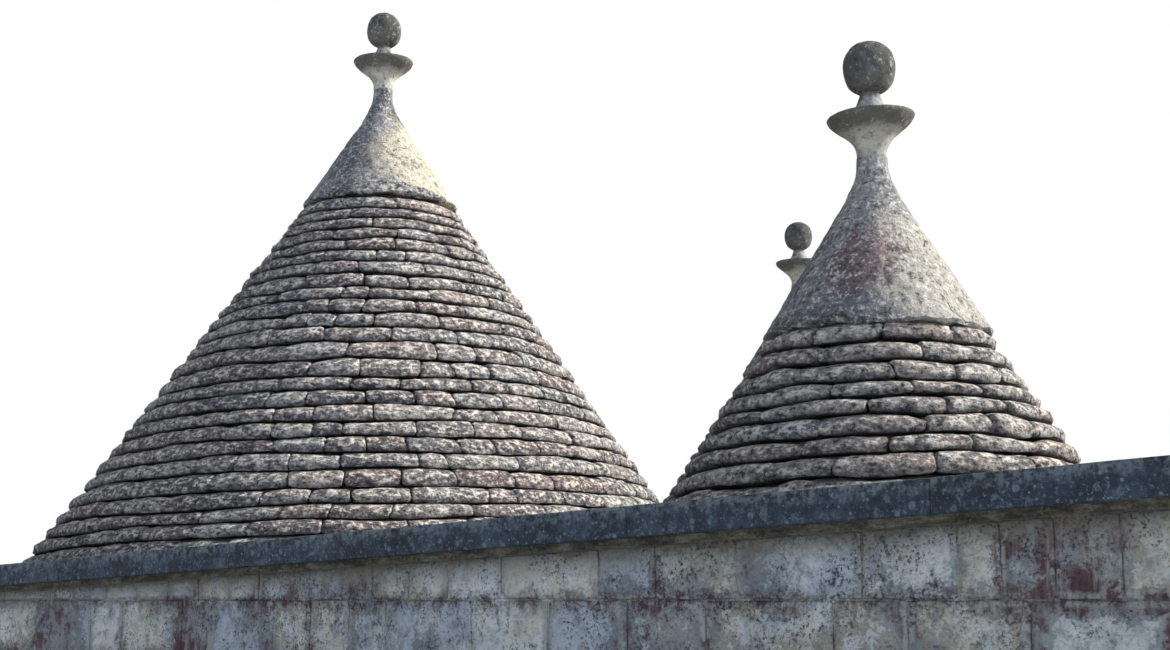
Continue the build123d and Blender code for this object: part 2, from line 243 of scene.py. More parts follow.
def weathered_limestone(name):
    """Split limestone slabs, laid dry and long weathered: grey faces eaten into ridges and pits, with
    painted cream highlights on the crests, painted shade in every pit and on the lower part of each slab,
    and crusts of white and black lichen."""
    made, where = start_material(name)
    tone, rust, lichen, under, joint = (
        attribute(where, key) for key in ("tone", "rust", "lichen", "under", "joint"))
    blotch, lump = pattern(where, 0.11), pattern(where, 0.02, 6, 0.62, (1, 1, 1.8))
    grit = pattern(where, 0.0075, 4, 0.65, (1, 1, 1.3))
    height = weighed(lump, 0.65, grit, 0.35)
    colour = curve(weighed(tone, 0.5, blotch, 0.5),
                   (0.25, "#535357"), (0.45, "#717072"), (0.62, "#8C8985"), (0.8, "#A5A199"))
    crust = sums(pattern(where, 0.022, 6, 0.72), times(lichen, 0.1))
    colour = layers(
        colour,
        ("#866259", times(rust, curve(lump, (0.35, 0), (0.6, 0.9)))),
        ("#555454", pattern(where, 0.06, 6, 0.7), (0.5, 0), (0.64, 0.65)),
        # The cream on the high crests of the relief is a painted highlight.
        ("#DCD4C8", height, (0.51, 0), (0.58, 1)),
        ("#D5D4CF", crust, (0.62, 0), (0.69, 0.8)),
        # The darker lower part of each slab's face, from the under value, is painted shade.
        ("#3F3F43", times(under, 0.7)),
        # The dark in the low pits of the relief is painted shade.
        ("#302E2F", height, (0.41, 0.9), (0.475, 0)),
        ("#242324", times(joint, 0.85)))
    return close_material(made, colour, 0.92, (lump, 0.042), (grit, 0.015))


def lime_plaster(name, shades, stains_and_painted_light, bare):
    """Trowelled lime plaster, long weathered: its skin is gone, so coarse sand stands out in pale and dark
    grains, with soot-grey lichen, a few cracks, stained patches, pale patches of painted highlight, and bare
    stone where it broke off at the edge."""
    made, where = start_material(name)
    blotch, patch = pattern(where, 0.14, 6), pattern(where, 0.045, 6, 0.7)
    lump, sand = pattern(where, 0.016, 6, 0.72), pattern(where, 0.007, 4, 0.7)
    grain = weighed(lump, 0.55, sand, 0.45)
    ragged = weighed(patch, 0.5, grain, 0.3)

    def beyond(place, reach, stretch):
        """How far a point lies outside a ragged patch, which is as much flatter as it is stretched."""
        at = add(where, "ShaderNodeMapping", {"Scale": (1, 1, stretch)}, {"Vector": where}).outputs[0]
        middle = place[0], place[1], stretch * place[2]
        distance = add(where, "ShaderNodeVectorMath", {"operation": "DISTANCE", 1: middle}, {0: at})
        return sums(distance.outputs["Value"], sums(ragged, 0.4 + reach, "SUBTRACT"))

    colour = curve(blotch, *zip((0.36, 0.5, 0.64), shades))
    # Patches laid over the plaster: real stains, and cream patches that are painted highlight on the lit
    # side of a cap.
    for shade, place, reach, amount in stains_and_painted_light:
        soft = curve(beyond(place, reach, 1), (0, 1), (0.1, 0))
        colour = layers(colour, (shade, times(soft, amount)))
    edge = beyond(*bare, 5)
    lost = curve(edge, (0, 1), (0.02, 0))
    stone = curve(lump, (0.4, "#4C4B4C"), (0.52, "#8E8C8A"), (0.62, "#B5B2AC"))
    stir = add(where, "ShaderNodeTexNoise", {"Scale": 6, "Detail": 4}, {"Vector": where}).outputs["Color"]
    stir = add(where, "ShaderNodeVectorMath", {"operation": "SCALE", "Scale": 0.12}, {0: stir}).outputs[0]
    bent = add(where, "ShaderNodeVectorMath", {"operation": "ADD"}, {0: where, 1: stir}).outputs[0]
    cells = {"feature": "DISTANCE_TO_EDGE", "Scale": 3.6}
    crack = add(bent, "ShaderNodeTexVoronoi", cells, {"Vector": bent})
    broken = curve(pattern(where, 0.1, 3), (0.53, 0), (0.58, 1))
    line = times(curve(crack.outputs["Distance"], (0, 1), (0.016, 0)), broken)
    colour = layers(
        colour,
        (stone, lost),
        ("#4B494A", patch, (0.34, 0.8), (0.47, 0)),
        ("#DAD6CD", grain, (0.52, 0), (0.585, 0.8)),
        ("#39383A", grain, (0.4, 0.9), (0.47, 0)),
        ("#C9C6BE", pattern(where, 0.03, 6, 0.75), (0.6, 0), (0.66, 0.7)),
        ("#2C2A2A", times(line, 0.9)),
        ("#2F2D2D", edge, (0, 0), (0.004, 0.85), (0.014, 0.85), (0.024, 0)))
    return close_material(
        made, colour, 0.92, (sums(1, lost, "SUBTRACT"), 0.012), (patch, 0.022), (lump, 0.03),
        (sand, 0.013), (sums(1, line, "SUBTRACT"), 0.006))


def limewashed_stone(name, blocks=True):
    """Squared limestone under flaking coats of limewash: white, cream and grey-blue fields in the middle of
    the blocks, worn to stone with red-brown growth round the joints, pale pointing, pits in clusters, and
    mortar smeared under the coping. Masonry not laid in blocks carries no values and takes middling ones."""
    made, where = start_material(name)
    blotch, patch = pattern(where, 0.15, 6, 0.65), pattern(where, 0.03, 7, 0.75)
    grit, run = pattern(where, 0.006, 5, 0.72), pattern(where, 0.02, 5, 0.65, (1, 1, 0.12))
    middle, tone = (sums(attribute(where, key), 0 if blocks else usual)
                    for key, usual in (("middle", 0.15), ("tone", 0.5)))
    cover = weighed(blotch, 0.95, patch, 0.42, grit, 0.28, middle, sums(times(tone, 0.24), 0.06))
    cover = sums(cover, curve(pattern(where, 0.5, 4), (0.36, 0), (0.58, 0.34)))
    cover = sums(cover, 0.28, "SUBTRACT")
    shade = weighed(tone, 0.35, pattern(where, 0.09, 6, 0.6), 0.65)
    thin = curve(shade, (0.36, "#8E969C"), (0.46, "#A7AAA6"), (0.54, "#BAB5A3"), (0.64, "#A4ACAE"))
    white = curve(shade, (0.38, "#C9D2DA"), (0.48, "#EAECEA"), (0.58, "#DED9C8"), (0.66, "#E6E9E8"))
    flake = curve(cover, (0.82, 0), (0.86, 0.75), (0.94, 1))
    worn = pattern(where, 0.07, 6, 0.72)
    colour = layers(
        curve(worn, (0.43, "#66494D"), (0.5, "#7B6E71"), (0.57, "#999B9B")),
        ("#A3A8A6", run, (0.52, 0), (0.62, 0.7)),
        (thin, cover, (0.7, 0), (0.77, 0.9)),
        (layers(white, ("#A9AEB0", patch, (0.4, 0.75), (0.52, 0))), times(flake, 0.95)))
    if blocks:
        pointing = times(curve(middle, (0, 0.8), (0.22, 0.8), (0.36, 0)),
                         curve(pattern(where, 0.1, 5, 0.7), (0.5, 0), (0.54, 1)))
        bed = times(attribute(where, "bed"), curve(run, (0.42, 1), (0.58, 0.25)))
        bed = times(bed, curve(weighed(patch, 0.5, grit, 0.5), (0.46, 1), (0.54, 0.3)))
        colour = layers(colour, ("#BCC0BA", pointing), ("#523A42", times(bed, 0.95)))
    parts = add(where, "ShaderNodeSeparateXYZ", links={0: where}).outputs
    top = sums(parts["Z"], times(parts["X"], COPING_FALL), "SUBTRACT")
    under = coping_height(0) - WALL_TOP_BELOW
    for smear, raggedness, low, high in (("#837F71", 0.16, -0.02, 0.05), ("#625C4E", 0.13, 0.035, 0.06)):
        height = sums(top, times(patch, raggedness))
        band = add(height, "ShaderNodeMapRange", {1: under + low, 2: under + high}, {0: height}).outputs[0]
        colour = layers(colour, (smear, times(band, 0.7)))
    cluster = curve(pattern(where, 0.08, 5, 0.65), (0.42, 1), (0.56, 0.15))
    colour = layers(
        colour,
        ("#34303A", times(curve(grit, (0.4, 0.9), (0.48, 0)), cluster)),
        ("#3A343D", times(curve(patch, (0.35, 0.9), (0.42, 0)), cluster)))
    if blocks:
        open_joint = times(curve(blotch, (0.46, 0.9), (0.54, 0.1)), attribute(where, "joint"))
        colour = layers(colour, ("#262228", open_joint))
    return close_material(made, colour, 0.88, (cover, 0.04), (flake, 0.006), (patch, 0.02), (grit, 0.006))


def grey_coping_stone(name):
    """Sawn grey limestone slabs with worn arrises: a dark blue-grey crust of lichen, specks and a few pale
    rosettes of younger lichen on it, and a paler line where the edge is rubbed."""
    made, where = start_material(name)
    blotch, patch = pattern(where, 0.1, 6, 0.65), pattern(where, 0.016, 6, 0.75)
    grit = pattern(where, 0.006, 5, 0.7)
    colour = curve(blotch, (0.36, "#1D252D"), (0.5, "#29333D"), (0.64, "#3D4853"))
    for scale, chosen_from, strength in ((20, 0.8, 0.6), (46, 0.7, 0.75)):
        spot = add(where, "ShaderNodeTexVoronoi", {"Scale": scale}, {"Vector": where}).outputs
        draw = add(where, "ShaderNodeSeparateColor", links={0: spot["Color"]}).outputs[0]
        size = sums(spot["Distance"], times(patch, 0.9))
        rosette = times(curve(size, (0.52, 0.7), (0.64, 1), (0.72, 0)),
                        curve(draw, (chosen_from, 0), (chosen_from + 0.04, 1)))
        colour = layers(colour, ("#717D87", times(rosette, strength)))
    rubbed = times(times(attribute(where, "worn"), 0.7), curve(patch, (0.45, 0), (0.55, 1)))
    colour = layers(
        colour,
        ("#5A6672", patch, (0.54, 0), (0.64, 0.75)),
        ("#858D90", grit, (0.58, 0), (0.66, 0.6)),
        ("#1D2126", patch, (0.37, 0.85), (0.46, 0)),
        ("#6A7275", rubbed),
        ("#23262A", times(attribute(where, "joint"), 0.25)))
    return close_material(made, colour, 0.85, (patch, 0.014), (grit, 0.005))


def lime_mortar(name):
    """Lime mortar with brown pit sand, pressed out under the coping and left rough."""
    made, where = start_material(name)
    lump, sand = pattern(where, 0.035, 6, 0.72, (0.6, 0.6, 1.4)), pattern(where, 0.006, 4, 0.7)
    colour = layers(
        curve(lump, (0.38, "#2C2A26"), (0.48, "#484439"), (0.56, "#5F5A4C"), (0.66, "#70706A")),
        ("#2C2926", sand, (0.36, 0.9), (0.46, 0)),
        ("#716C61", sand, (0.56, 0), (0.66, 0.7)))
    return close_material(made, colour, 0.95, (lump, 0.03), (sand, 0.006))


def paving_flags(name):
    """Thin limestone flags bedded in lime: pale grey, worn smooth, with limewash in the joints."""
    made, where = start_material(name)
    blotch, patch = pattern(where, 0.2, 5), pattern(where, 0.03, 6, 0.7)
    bricks = add(where, "ShaderNodeTexBrick", {
        "Color1": "#9C968C", "Color2": "#7F7B75", "Mortar": "#B9B6AD", "Scale": 1, "Mortar Size": 0.008,
        "Mortar Smooth": 0.4, "Brick Width": 0.52, "Row Height": 0.34, "offset": 0.43},
        {"Vector": where}).outputs
    colour = layers(
        bricks["Color"],
        ("#6A6763", blotch, (0.35, 0.6), (0.6, 0)),
        ("#C6C2B8", patch, (0.58, 0), (0.68, 0.6)))
    return close_material(made, colour, 0.88, (sums(1, bricks["Fac"], "SUBTRACT"), 0.006), (patch, 0.004))


def rubble_stone(name):
    """Rubble and corbelled rings inside the cones, once limewashed: warm white over rough bedded stone."""
    made, where = start_material(name)
    bed, lump = pattern(where, 0.05, 5, 0.6, (0.35, 0.35, 1)), pattern(where, 0.03, 6, 0.7)
    colour = layers(
        curve(bed, (0.3, "#8E877B"), (0.5, "#B7AF9F"), (0.7, "#CFC9BC")),
        ("#57514A", lump, (0.3, 0.7), (0.45, 0)))
    return close_material(made, colour, 0.92, (bed, 0.02), (lump, 0.008))


def dish_stone(name, rim):
    """Dressed limestone saucer: cream below, where no rain reaches, and a dark crust down from the rim."""
    made, where = start_material(name)
    blotch, patch = pattern(where, 0.05, 6, 0.68), pattern(where, 0.014, 6, 0.74)
    height = add(where, "ShaderNodeSeparateXYZ", links={0: where}).outputs["Z"]
    below = sums(sums(rim + 0.12, height, "SUBTRACT"), weighed(blotch, 0.16, patch, 0.08), "SUBTRACT")
    colour = layers(
        curve(blotch, (0.38, "#807D75"), (0.5, "#989488"), (0.62, "#ACA89C")),
        ("#46433E", below, (0.058, 0.92), (0.088, 0)),
        ("#A29D92", patch, (0.56, 0), (0.66, 0.55)),
        ("#4A4644", patch, (0.36, 0.8), (0.455, 0)))
    return close_material(made, colour, 0.9, (patch, 0.01))


def ball_stone(name, rim):
    """Dressed limestone ball under a dark grey crust of lichen with pale rosettes, pitted by rain, browner
    underneath, on a foot that has stayed paler."""
    made, where = start_material(name)
    blotch, patch = pattern(where, 0.05, 6, 0.65), pattern(where, 0.014, 6, 0.74)
    height = add(where, "ShaderNodeSeparateXYZ", links={0: where}).outputs["Z"]
    above = sums(sums(height, rim, "SUBTRACT"), times(blotch, 0.06))
    colour = layers(
        curve(above, (0.09, "#94928E"), (0.12, "#57524C"), (0.17, "#504D49"), (0.23, "#454441")),
        ("#2E2F30", blotch, (0.36, 0.8), (0.48, 0)),
        ("#636262", blotch, (0.53, 0), (0.66, 0.7)),
        ("#918F8A", patch, (0.56, 0), (0.65, 0.8)),
        ("#2F2D2D", patch, (0.36, 0.85), (0.45, 0)))
    return close_material(made, colour, 0.9, (patch, 0.012))


def clear():
    """Leaves edit mode and deselects everything."""
    if bpy.context.object and bpy.context.object.mode != "OBJECT":
        bpy.ops.object.mode_set(mode="OBJECT")
    bpy.ops.object.select_all(action="DESELECT")


def pick_edges(piece, test):
    """Selects the edges of a piece in edit mode that pass a test."""
    bpy.ops.mesh.select_mode(type="EDGE")
    bpy.ops.mesh.select_all(action="DESELECT")
    mesh = bmesh.from_edit_mesh(piece.data)
    for edge in mesh.edges:
        if test(edge):
            edge.select_set(True)
    mesh.select_flush_mode()
    bmesh.update_edit_mesh(piece.data)


def finish_piece(piece, material, slot, *replaced):
    """Gives a piece its finish and its body, and hides the CAD nodes that it stands for."""
    piece.data.materials.clear()
    piece.data.materials.append(material)
    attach(piece, "root")
    if replaced:
        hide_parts(*replaced)


def hewn_stone(size, arris, corner, columns, rows, wobble, seed):
    """One stone about the origin with its face at y = 0 towards +Y: (corners, faces, size)."""
    length, depth, height = size
    clear()
    bpy.ops.mesh.primitive_cube_add(size=1, location=(0, -depth / 2, 0), scale=size)
    bpy.ops.object.transform_apply()
    stone = bpy.context.object
    bpy.ops.object.mode_set(mode="EDIT")
    pick_edges(stone, lambda e: abs(e.verts[0].co.y - e.verts[1].co.y) > 0.5 * depth)
    bpy.ops.mesh.bevel(offset=corner, segments=2, affect="EDGES")
    pick_edges(stone, lambda e: all(v.co.y > -0.001 for v in e.verts))
    bpy.ops.mesh.bevel(offset=arris, segments=2, affect="EDGES")
    for count, along, reach in ((columns, 0, length / 2 - arris), (rows, 2, height / 2 - arris)):
        for i in range(1, count):
            place, normal = [0.0, 0.0, 0.0], [0.0, 0.0, 0.0]
            place[along], normal[along] = (2 * i / count - 1) * reach, 1.0
            bpy.ops.mesh.select_all(action="SELECT")
            bpy.ops.mesh.bisect(plane_co=place, plane_no=normal)
    bpy.ops.mesh.select_all(action="SELECT")
    bpy.ops.transform.vertex_random(offset=wobble, seed=seed)
    bpy.ops.mesh.normals_make_consistent(inside=False)
    bpy.ops.object.mode_set(mode="OBJECT")
    corners = np.array([v.co[:] for v in stone.data.vertices])
    faces = [tuple(p.vertices) for p in stone.data.polygons]
    bpy.data.objects.remove(stone)
    return corners, faces, size


def both_ways(masters):
    """The stones as they are, and then each once more with its left end at the right."""
    return masters + [(corners * (-1, 1, 1), [face[::-1] for face in faces], size)
                      for corners, faces, size in masters]


def join_stones(name, laid, angle=50):
    """Joins laid stones into one piece. Each is (corners, faces, {value name: values at the corners})."""
    corners, faces, values, count = [], [], {}, 0
    for points, polygons, carried in laid:
        corners.append(points)
        faces.extend(tuple(i + count for i in face) for face in polygons)
        for key, value in carried.items():
            values.setdefault(key, []).append(np.broadcast_to(value, len(points)))
        count += len(points)
    mesh = bpy.data.meshes.new(name)
    mesh.from_pydata(np.concatenate(corners).tolist(), [], faces)
    for key, value in values.items():
        mesh.attributes.new(key, "FLOAT", "POINT").data.foreach_set(
            "value", np.concatenate(value).astype(np.float32))
    piece = bpy.data.objects.new(name, mesh)
    bpy.context.scene.collection.objects.link(piece)
    clear()
    piece.select_set(True)
    bpy.context.view_layer.objects.active = piece
    bpy.ops.object.shade_smooth_by_angle(angle=math.radians(angle))
    return piece


def roughness_at(points, size, seed):
    """Smooth random values from -1 to 1 at points, in lumps of about a size."""
    shift = Vector((seed * 3.7, seed * 1.3, seed * 2.1))
    return np.array([noise.noise(Vector(p) / size + shift) for p in points])


def uneven_lengths(whole, usual, chance, fewest=5):
    """Cuts a length into uneven parts."""
    count = max(fewest, round(whole / usual))
    shares = [chance.choice((0.55, 0.75, 0.9, 1.0, 1.1, 1.3, 1.5)) for _ in range(count)]
    return [share * whole / sum(shares) for share in shares]


def breaking_joint(lengths, whole, below, chance):
    """Start of a course whose upright joints stay clear of those below."""
    best, best_gap = 0.0, -1.0
    for _ in range(24):
        start = chance.random()
        ends = [(start + sum(lengths[:i]) / whole) % 1 for i in range(len(lengths))]
        gap = min((min(abs(e - b), 1 - abs(e - b)) for e in ends for b in below), default=1)
        if gap > best_gap:
            best, best_gap, best_ends = start, gap, ends
    return best, best_ends


def coping_height(x):
    """Height of the coping's top at x."""
    return COPING_TOP - (RIGHT_END - x) * COPING_FALL


def bed_heights(cone, usual, chance):
    """Heights of the beds of a cone from its foot up: those of the photograph, and like ones below them."""
    beds = list(cone["beds"])
    while beds[-1] > cone["low"]:
        beds.append(beds[-1] - usual * chance.uniform(0.85, 1.18))
    return beds[::-1]


def bed_fall(cone, bed, offset):
    """How much higher a bed is at an offset along x from the cone's middle: it falls with the terrace at the
    foot of the cone and is level at its top."""
    return COPING_FALL * max(0, (cone["edge"] - bed) / (cone["edge"] - cone["low"])) * offset


def lay_cone(cone, masters, roof, seed, looseness):
    """All the slabs of a cone, course on course up to the plastered cap."""
    chance = random.Random(seed)
    beds = bed_heights(cone, roof.course_height, chance)
    waves = [[(chance.uniform(0.2, 1) * roof.bed_wave, chance.randint(2, 13), chance.uniform(0, 2 * math.pi))
              for _ in range(3)] for _ in beds]
    waves[-1] = []
    laid, ends = [], []
    for i, (low, high) in enumerate(zip(beds, beds[1:])):
        radius = cone["edge_radius"] + (cone["edge"] - (low + high) / 2) * cone["lean"]
        whole = 2 * math.pi * radius
        lengths = uneven_lengths(whole, roof.slab_length, chance)
        start, ends = breaking_joint(lengths, whole, ends, chance)
        along = start * whole
        leans = [chance.gauss(0, roof.joint_lean) for _ in lengths]
        for number, length in enumerate(lengths):
            middle = (along + length / 2) / radius
            offset = radius * math.cos(middle)
            if high + bed_fall(cone, low, offset) > coping_height(cone["x"] + offset) - TERRACE_BELOW:
                laid.append(lay_slab(cone, masters, roof, chance, (low, high), (waves[i], waves[i + 1]),
                                     along, length, (leans[number - 1], leans[number]), radius, looseness))
            along += length
    return laid


def lay_slab(cone, masters, roof, chance, beds, waves, along, length, leans, radius, looseness):
    """One slab of a cone in its place, between two upright joints that each lean a little. Its top is worn
    down at its ends, and its face is lumpy and swells in the middle."""
    corners, faces, size = chance.choice(sorted(masters, key=lambda m: abs(m[2][0] - length))[:6])
    gap = roof.open_joint * chance.uniform(0.5, 1.7)
    share = 0.5 - corners[:, 0] / size[0]
    rise = np.clip(corners[:, 2] / size[2] + 0.5, 0, 1)
    lean = (leans[0] * (1 - share) + leans[1] * share) * (rise - 0.5)
    angle = (along + gap / 2 + share * (length - gap) + lean) / radius
    low, high = (bed + sum(reach * np.sin(n * angle + turn) for reach, n, turn in wave)
                 for bed, wave in zip(beds, waves))
    fall = bed_fall(cone, beds[0], radius * np.cos(angle))
    whole = beds[1] - beds[0]
    ends = (2 * share - 1) ** 2
    low = low + fall + 0.002 + whole * (chance.uniform(0, 0.05) * ends)
    worn_off = chance.uniform(0, 0.1) + chance.uniform(0, 0.12) * ends
    worn_off = worn_off + chance.uniform(-0.07, 0.07) * (share - 0.5)
    high = high + fall - 0.004 - whole * looseness * worn_off
    z = low + rise * (high - low)
    swell = np.where(rise < 0.5, 2 * rise, 1 - (2 * rise - 1) ** 2) * roof.swell - 0.008
    worn = corners[:, 1] * np.where((corners[:, 1] > -0.03) & (rise < 0.5), 0.5, 1.0)
    out = looseness * (chance.uniform(-0.006, 0.004) + chance.uniform(-0.012, 0.012) * (share - 0.5))
    drawn_in, power = cone["drawn_in"]
    drawn = drawn_in * np.clip(1 - (cone["edge"] - z) / (cone["edge"] - cone["low"]), 0, 1) ** power
    reach = cone["edge_radius"] + (cone["edge"] - z) * cone["lean"] - drawn + swell + out + worn
    points = np.stack([radius * np.cos(angle), radius * np.sin(angle), z], axis=1)
    face = np.clip(1 + corners[:, 1] / 0.05, 0, 1)
    reach = reach + face * (roughness_at(points, 0.09, 1) * 0.010 + roughness_at(points, 0.035, 2) * 0.008)
    z = z + face * roughness_at(points, 0.06, 3) * 0.005
    points = np.stack([cone["x"] + reach * np.cos(angle), cone["y"] + reach * np.sin(angle), z], axis=1)
    # The under value darkens the lower part of the slab's face: painted shade.
    return points, faces, {
        "tone": min(max(chance.gauss(cone["tone"], 0.2), 0), 1), "rust": chance.choice(RUST_SHARES),
        "lichen": chance.random(), "joint": np.clip((-corners[:, 1] - 0.018) / 0.02, 0, 1),
        "under": np.clip(1 - rise / 0.45, 0, 1)}


class TRULLO_OT_roof_stones(bpy.types.Operator):
    """Lays the dry-stone slabs of the three cones, course on course"""

    bl_idname = "trullo.roof_stones"
    bl_label = "Roof stones"

    def execute(self, context):
        roof = context.scene.trullo_roof
        stone = weathered_limestone("weathered_limestone")
        masters = []
        for number in range(9):
            length, columns = ((0.20, 4), (0.29, 5), (0.40, 7))[number % 3]
            more = 0.003 * (number // 3)
            masters.append(hewn_stone(
                (length, 0.13, 0.08), 0.013 + more, 0.012 + more, columns, 3, 0.007, number + 1))
        masters = both_ways(masters)
        for seed, (name, looseness) in enumerate((("a", 1.0), ("b", 1.2), ("c", 1.0))):
            laid = lay_cone(CONES[name], masters, roof, 11 + seed, looseness)
            piece = join_stones(f"cone_{name}_stones", laid)
            finish_piece(piece, stone, "cone_stone", f"cone_{name}_mantle")
        return {"FINISHED"}


def turned_piece(name, cone, rings, sides):
    """A round piece of a cone shaped ring by ring from its foot up. Each ring is (radius, height)."""
    x, y = cone["x"], cone["y"]
    clear()
    radius, height = rings[0]
    bpy.ops.mesh.primitive_circle_add(
        vertices=sides, radius=radius, fill_type="NGON", location=(x, y, height))
    bpy.ops.object.transform_apply()
    piece = bpy.context.object
    piece.name = piece.data.name = name
    bpy.ops.object.mode_set(mode="EDIT")
    bpy.ops.mesh.select_mode(type="EDGE")
    bpy.ops.mesh.select_all(action="SELECT")
    for (radius, height), (next_radius, next_height) in zip(rings, rings[1:]):
        bpy.ops.mesh.extrude_edges_move(TRANSFORM_OT_translate={"value": (0, 0, next_height - height)})
        ratio = next_radius / radius
        bpy.ops.transform.resize(value=(ratio, ratio, 1), center_override=(x, y, next_height))
    bpy.ops.mesh.edge_face_add()
    bpy.ops.mesh.select_all(action="SELECT")
    bpy.ops.mesh.normals_make_consistent(inside=False)
    bpy.ops.object.mode_set(mode="OBJECT")
    return piece


def roughen(piece, *lumps):
    """Moves a hand-made face in and out. The lumps are (their size, how far they reach)."""
    clear()
    piece.select_set(True)
    bpy.context.view_layer.objects.active = piece
    for size, reach in lumps:
        cloud = bpy.data.textures.new("hand_work", "CLOUDS")
        cloud.noise_scale, cloud.noise_depth = size, 3
        change = piece.modifiers.new("hand_work", "DISPLACE")
        change.texture, change.strength, change.mid_level = cloud, reach, 0.5
        change.texture_coords = "LOCAL"
        bpy.ops.object.modifier_apply(modifier=change.name)
    bpy.ops.object.shade_smooth_by_angle(angle=math.radians(50))


def cap_rings(cone):
    """Profile of a plastered cap: a lip over the top course, and a slope that bends up into the neck."""
    edge, neck = cone["edge"], cone["neck"]
    count = round((neck - edge) / 0.018)
    slope = []
    for i in range(count + 1):
        z = edge + (neck - edge) * i / count
        slope.append((math.hypot(cone["cap_lean"] * max(0, cone["apex"] - z), NECK_RADIUS), z))
    radius = slope[0][0]
    return [(radius - 0.13, edge - 0.006), (radius - 0.03, edge - 0.016), (radius - 0.006, edge - 0.014),
            (radius + 0.002, edge - 0.003), *slope[1:]]


def beside(cone, turn, distance, up):
    """A point at a distance from a cone's axis, turn degrees round from +X, and up from its cap's edge."""
    turn = math.radians(turn)
    return cone["x"] + distance * math.cos(turn), cone["y"] + distance * math.sin(turn), cone["edge"] + up


class TRULLO_OT_caps(bpy.types.Operator):
    """Shapes the plastered caps of the cones"""

    bl_idname = "trullo.caps"
    bl_label = "Plastered caps"

    def execute(self, context):
        # The shades of each cap, its patches (colour, direction in degrees, height over the edge, reach and
        # strength), and where its plaster is gone at the edge (direction and reach). The cream patches of a
        # and b are painted highlight on the lit side of the cap; the red-brown ones are stains.
        finishes = {
            "a": (("#5F6164", "#7B7C7E", "#929190"), (("#D5CAB2", 22, 0.20, 0.31, 0.75),), (328, 0.34)),
            "b": (("#68696C", "#838485", "#999896"),
                  (("#C2BBAC", 0, 0.20, 0.28, 0.65), ("#6F5257", 289, 0.28, 0.11, 0.7)), (285, 0.07)),
            "c": (("#5F6164", "#7B7C7E", "#929190"), (("#7E6A64", 200, 0.24, 0.15, 0.4),), (250, 0.3)),
        }
        for name, (shades, stains_and_painted_light, (gone, bare)) in finishes.items():
            cone = CONES[name]
            piece = turned_piece(f"cone_{name}_plaster", cone, cap_rings(cone), 128)
            for vertex in piece.data.vertices:
                low = max(0.0, 1 - (vertex.co.z - cone["edge"] + 0.016) / 0.06)
                vertex.co.z += (low * 0.017 * noise.noise(vertex.co * 9)
                                + low * 0.011 * noise.noise(vertex.co * 31))
            roughen(piece, (0.16, 0.016), (0.045, 0.010))
            placed = [(shade, beside(cone, turn, 0.30, up), reach, amount)
                      for shade, turn, up, reach, amount in stains_and_painted_light]
            bare = beside(cone, gone, cone["edge_radius"], -0.01), bare
            plaster = lime_plaster(f"lime_plaster_cap_{name}", shades, placed, bare)
            finish_piece(piece, plaster, "cap_plaster", f"cone_{name}_cap")
        return {"FINISHED"}


class TRULLO_OT_finials(bpy.types.Operator):
    """Shapes the dish and the ball on each cap"""

    bl_idname = "trullo.finials"
    bl_label = "Dishes and balls"

    def execute(self, context):
        for name, cone in CONES.items():
            neck, rim, wide = cone["neck"], cone["rim"], cone["rim_radius"]
            rings = [(0.05, neck - 0.012)]
            for i in range(20):
                flare = 1 - (1 - (i / 20) ** DISH_WAIST) ** DISH_BOWL
                rings.append((NECK_RADIUS + (wide - NECK_RADIUS) * flare, neck + (rim - neck) * i / 20))
            rings += [(wide - 0.004, rim - 0.003), (wide - 0.014, rim), (wide * 0.7, rim + 0.003),
                      (0.09, rim + 0.004)]
            dish = turned_piece(f"cone_{name}_saucer", cone, rings, 72)
            for vertex in dish.data.vertices:
                across = (vertex.co.x - cone["x"]) * 0.74 + (vertex.co.y - cone["y"]) * 0.67
                vertex.co.z += cone["tilt"] * across * (vertex.co.z - neck) / (rim - neck)
            roughen(dish, (0.09, 0.006), (0.025, 0.003))
            stone = dish_stone(f"dressed_limestone_dish_{name}", rim)
            finish_piece(dish, stone, "dish_plaster", f"cone_{name}_dish")
            radius = cone["ball_radius"]
            half = radius * BALL_STRETCH
            middle = cone["top"] - half
            start = -math.acos((STEM_TOP_RADIUS / radius) ** (1 / BALL_SQUARE_BELOW))
            rings = [(0.078, rim - 0.004), (0.070, rim + 0.014), (0.056, rim + 0.050), (0.044, rim + 0.082)]
            for i in range(24):
                turn = start + (math.pi / 2 - start) * i / 24
                square = BALL_SQUARE_BELOW if turn < 0 else BALL_SQUARE_ABOVE
                rings.append((radius * math.cos(turn) ** square,
                              middle + math.copysign(abs(math.sin(turn)) ** square, turn) * half))
            ball = turned_piece(f"cone_{name}_pinnacle", cone, rings, 64)
            roughen(ball, (0.10, 0.008), (0.022, 0.004))
            top = max(v.co.z for v in ball.data.vertices)
            for vertex in ball.data.vertices:
                vertex.co.z -= max(0.0, top - cone["top"]) * max(0.0, (vertex.co.z - rim) / (top - rim))
            stone = ball_stone(f"dressed_limestone_ball_{name}", rim)
            finish_piece(ball, stone, "finial_stone", f"cone_{name}_ball")
        return {"FINISHED"}


def wall_faces():
    """The outer wall faces, each to the right of its line: name, start, direction and length."""
    left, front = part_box("left_wall")[0].x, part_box("front_wall")[0].y
    right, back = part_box("wing_right_wall")[1].x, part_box("back_wall")[1].y
    yard, wing_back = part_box("rear_yard_wall")[1].x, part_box("wing_back_wall")[1].y
    corners = [(left, front), (right, front), (right, wing_back), (yard, wing_back), (yard, back),
               (left, back)]
    names = "front", "wing_end", "wing_back", "yard", "back", "left"
    for name, (x, y), (next_x, next_y) in zip(names, corners, corners[1:] + corners[:1]):
        length = abs(next_x - x) + abs(next_y - y)
        yield f"{name}_blocks", (x, y), (round((next_x - x) / length), round((next_y - y) / length)), length


